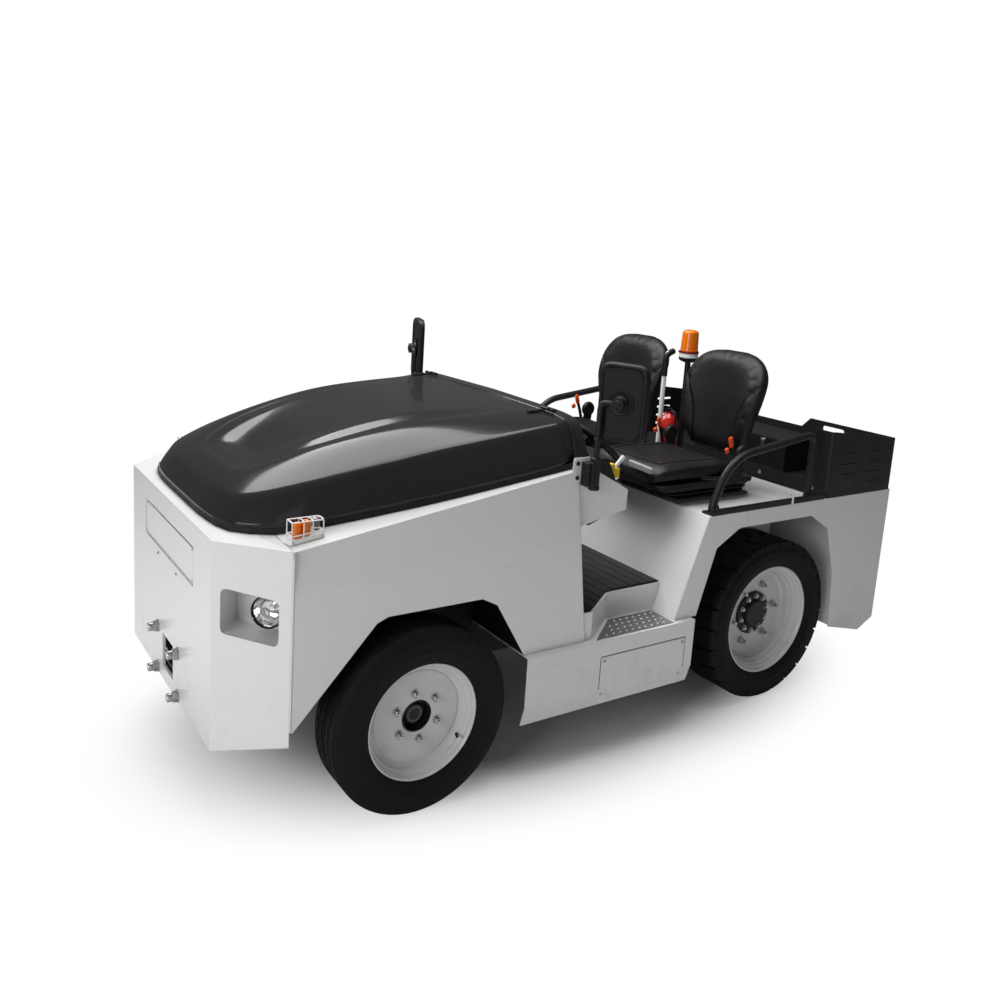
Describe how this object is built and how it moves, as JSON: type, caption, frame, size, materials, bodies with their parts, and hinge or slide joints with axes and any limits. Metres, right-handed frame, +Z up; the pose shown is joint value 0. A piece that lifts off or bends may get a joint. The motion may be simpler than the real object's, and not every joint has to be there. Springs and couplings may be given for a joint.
{
  "type": "airport baggage tug",
  "caption": "Low electric tow tractor for baggage trains: long hinged hood, open cab with side steps, rear equipment box and a drop-pin tow jaw.",
  "frame": {"origin": "on the ground under the middle of the bounding box", "axes": "+X to the vehicle's left, -Y forwards out of the nose, +Z up"},
  "size_m": [1.7142, 3.3, 1.6],
  "materials": {
    "battery_pack": "satin black paint",
    "beacon": "amber lens",
    "beacon_pole": "satin black paint",
    "chassis_frame": "satin black paint",
    "cowl": "gloss dark grey",
    "dash": "matt black",
    "dash_wing_left": "semi-gloss white paint",
    "dash_wing_right": "semi-gloss white paint",
    "extinguisher": "gloss red paint",
    "fender_left": "semi-gloss white paint",
    "fender_right": "semi-gloss white paint",
    "floor_mat": "matt black rubber",
    "floor_plate": "semi-gloss white paint",
    "front_axle": "satin black paint",
    "front_rim_left": "semi-gloss white paint",
    "front_rim_right": "semi-gloss white paint",
    "front_tyre_left": "matt black rubber",
    "front_tyre_right": "matt black rubber",
    "handrail_left": "satin black paint",
    "handrail_right": "satin black paint",
    "headlamp_left": "clear lens",
    "headlamp_right": "clear lens",
    "hood": "gloss dark grey",
    "hood_seal": "matt black rubber",
    "knuckle_left": "satin black paint",
    "knuckle_right": "satin black paint",
    "lamp_bucket_left": "semi-gloss white paint",
    "lamp_bucket_right": "semi-gloss white paint",
    "locker": "satin black paint",
    "marker_lamp_left": "amber lens",
    "marker_lamp_right": "amber lens",
    "mirror_arm_left": "satin black paint",
    "mirror_arm_right": "satin black paint",
    "mirror_left": "matt black",
    "mirror_right": "matt black",
    "nose_panel": "semi-gloss white paint",
    "parking_lever": "semi-gloss white paint",
    "rear_axle": "satin black paint",
    "rear_box": "satin black paint",
    "rear_rim_left": "semi-gloss white paint",
    "rear_rim_right": "semi-gloss white paint",
    "rear_tyre_left": "matt black rubber",
    "rear_tyre_right": "matt black rubber",
    "seat_back_left": "black vinyl",
    "seat_back_right": "black vinyl",
    "seat_base_left": "matt black",
    "seat_base_right": "matt black",
    "seat_cushion_left": "black vinyl",
    "seat_cushion_right": "black vinyl",
    "seat_deck": "semi-gloss white paint",
    "side_panel_left": "semi-gloss white paint",
    "side_panel_right": "semi-gloss white paint",
    "skirt_left": "semi-gloss white paint",
    "skirt_right": "semi-gloss white paint",
    "steering_column": "matt black",
    "steering_wheel": "matt black",
    "tail_block": "semi-gloss white paint",
    "tow_hitch": "satin black paint",
    "tow_pin": "bare steel"
  },
  "bodies": {
    "base": {"battery_pack": "battery_pack", "beacon": "beacon", "beacon_pole": "beacon_pole", "chassis_frame": "chassis_frame", "cowl": "cowl", "dash": "dash", "dash_wing_left": "dash_wing_left", "dash_wing_right": "dash_wing_right", "extinguisher": "extinguisher", "fender_left": "fender_left", "fender_right": "fender_right", "floor_mat": "floor_mat", "floor_plate": "floor_plate", "front_axle": "front_axle", "handrail_left": "handrail_left", "handrail_right": "handrail_right", "headlamp_left": "headlamp_left", "headlamp_right": "headlamp_right", "hood_seal": "hood_seal", "lamp_bucket_left": "lamp_bucket_left", "lamp_bucket_right": "lamp_bucket_right", "locker": "locker", "marker_lamp_left": "marker_lamp_left", "marker_lamp_right": "marker_lamp_right", "mirror_arm_left": "mirror_arm_left", "mirror_arm_right": "mirror_arm_right", "mirror_left": "mirror_left", "mirror_right": "mirror_right", "nose_panel": "nose_panel", "parking_lever": "parking_lever", "rear_axle": "rear_axle", "rear_box": "rear_box", "seat_back_left": "seat_back_left", "seat_back_right": "seat_back_right", "seat_base_left": "seat_base_left", "seat_base_right": "seat_base_right", "seat_cushion_left": "seat_cushion_left", "seat_cushion_right": "seat_cushion_right", "seat_deck": "seat_deck", "side_panel_left": "side_panel_left", "side_panel_right": "side_panel_right", "skirt_left": "skirt_left", "skirt_right": "skirt_right", "steering_column": "steering_column", "tail_block": "tail_block", "tow_hitch": "tow_hitch"},
    "hood": {"hood": "hood"},
    "steering": {"steering_wheel": "steering_wheel"},
    "tow_pin": {"tow_pin": "tow_pin"},
    "knuckle_left": {"knuckle_left": "knuckle_left"},
    "front_wheel_left": {"front_rim_left": "front_rim_left", "front_tyre_left": "front_tyre_left"},
    "rear_wheel_left": {"rear_rim_left": "rear_rim_left", "rear_tyre_left": "rear_tyre_left"},
    "knuckle_right": {"knuckle_right": "knuckle_right"},
    "front_wheel_right": {"front_rim_right": "front_rim_right", "front_tyre_right": "front_tyre_right"},
    "rear_wheel_right": {"rear_rim_right": "rear_rim_right", "rear_tyre_right": "rear_tyre_right"}
  },
  "joints": [
    {"name": "hood_hinge", "type": "hinge", "parent": "base", "child": "hood", "pos_m": [0, -0.298, 1.364], "axis": [-1, 0, 0], "range_deg": [0, 55]},
    {"name": "steering_turn", "type": "hinge", "parent": "base", "child": "steering", "pos_m": [0.3, 0.01947, 1.15046], "axis": [0, 0.6428, 0.766], "range_deg": [-361, 361]},
    {"name": "tow_pin_lift", "type": "slide", "parent": "base", "child": "tow_pin", "axis": [0, 0, 1], "range_m": [0, 0.19]},
    {"name": "steer_left", "type": "hinge", "parent": "base", "child": "knuckle_left", "pos_m": [0.525, -0.937, 0.341], "axis": [0, 0, 1], "range_deg": [-30, 30]},
    {"name": "front_wheel_spin_left", "type": "hinge", "parent": "knuckle_left", "child": "front_wheel_left", "pos_m": [0.652, -0.937, 0.341], "axis": [1, 0, 0], "continuous": true},
    {"name": "rear_wheel_spin_left", "type": "hinge", "parent": "base", "child": "rear_wheel_left", "pos_m": [0.571, 0.877, 0.368], "axis": [1, 0, 0], "continuous": true},
    {"name": "steer_right", "type": "hinge", "parent": "base", "child": "knuckle_right", "pos_m": [-0.525, -0.937, 0.341], "axis": [0, 0, 1], "range_deg": [-30, 30]},
    {"name": "front_wheel_spin_right", "type": "hinge", "parent": "knuckle_right", "child": "front_wheel_right", "pos_m": [-0.652, -0.937, 0.341], "axis": [1, 0, 0], "continuous": true},
    {"name": "rear_wheel_spin_right", "type": "hinge", "parent": "base", "child": "rear_wheel_right", "pos_m": [-0.571, 0.877, 0.368], "axis": [1, 0, 0], "continuous": true}
  ],
  "couplings": [
    {"joint": "steer_right", "follows": "steer_left", "ratio": 1},
    {"joint": "steering_turn", "follows": "steer_left", "ratio": 12}
  ]
}
